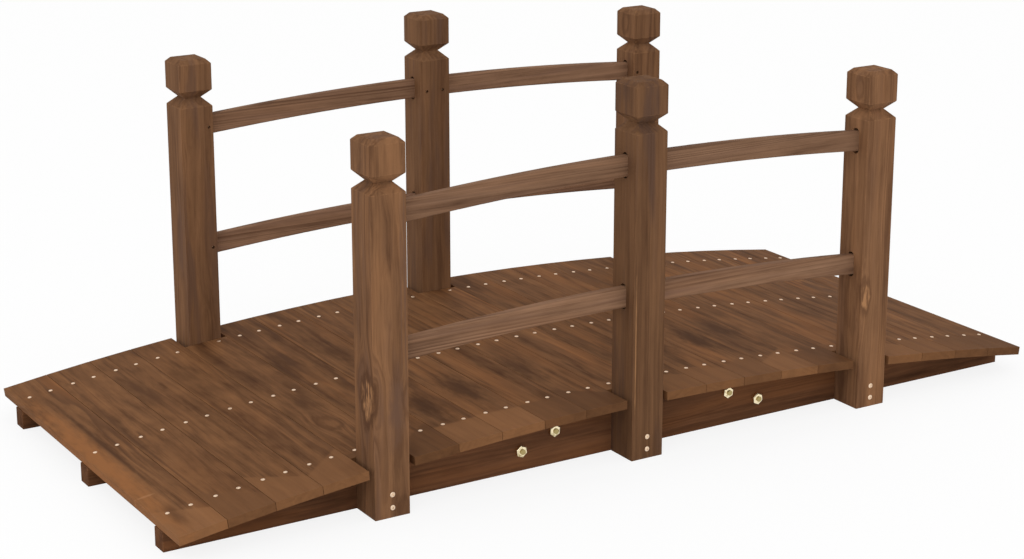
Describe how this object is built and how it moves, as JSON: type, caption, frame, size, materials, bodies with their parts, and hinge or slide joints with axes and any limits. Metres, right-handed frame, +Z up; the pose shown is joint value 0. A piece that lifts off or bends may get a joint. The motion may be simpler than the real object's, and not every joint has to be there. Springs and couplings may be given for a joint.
{
  "type": "arched garden bridge",
  "caption": "Small arched wooden garden bridge: a boarded deck on arched beams, with capped square posts and arched double rails along both sides.",
  "frame": {"origin": "on the ground under the middle of the bridge", "axes": "+X along the bridge, +Y towards the back railing, +Z up"},
  "size_m": [1.4992, 0.683, 0.571],
  "materials": {
    "deck_wood": "satin",
    "beam_wood": "satin",
    "post_wood": "satin",
    "rail_wood": "satin",
    "fastener_brass": "polished"
  },
  "bodies": {
    "root": {"front_beam_left": "beam_wood", "front_beam_right": "beam_wood", "middle_beam_left": "beam_wood", "middle_beam_right": "beam_wood", "back_beam_left": "beam_wood", "back_beam_right": "beam_wood", "front_splice_plate": "beam_wood", "middle_splice_plate": "beam_wood", "back_splice_plate": "beam_wood", "front_post_left": "post_wood", "front_post_middle": "post_wood", "front_post_right": "post_wood", "back_post_left": "post_wood", "back_post_middle": "post_wood", "back_post_right": "post_wood", "front_lower_rail_left": "rail_wood", "front_lower_rail_right": "rail_wood", "front_upper_rail_left": "rail_wood", "front_upper_rail_right": "rail_wood", "back_lower_rail_left": "rail_wood", "back_lower_rail_right": "rail_wood", "back_upper_rail_left": "rail_wood", "back_upper_rail_right": "rail_wood", "deck_board_1": "deck_wood", "deck_board_2": "deck_wood", "deck_board_3": "deck_wood", "deck_board_4": "deck_wood", "deck_board_5": "deck_wood", "deck_board_6": "deck_wood", "deck_board_7": "deck_wood", "deck_board_8": "deck_wood", "deck_board_9": "deck_wood", "deck_board_10": "deck_wood", "deck_board_11": "deck_wood", "deck_board_12": "deck_wood", "deck_board_13": "deck_wood", "deck_board_14": "deck_wood", "deck_board_15": "deck_wood", "deck_board_16": "deck_wood", "deck_board_17": "deck_wood", "deck_board_18": "deck_wood", "deck_board_19": "deck_wood", "deck_board_20": "deck_wood", "deck_board_21": "deck_wood"}
  },
  "joints": []
}
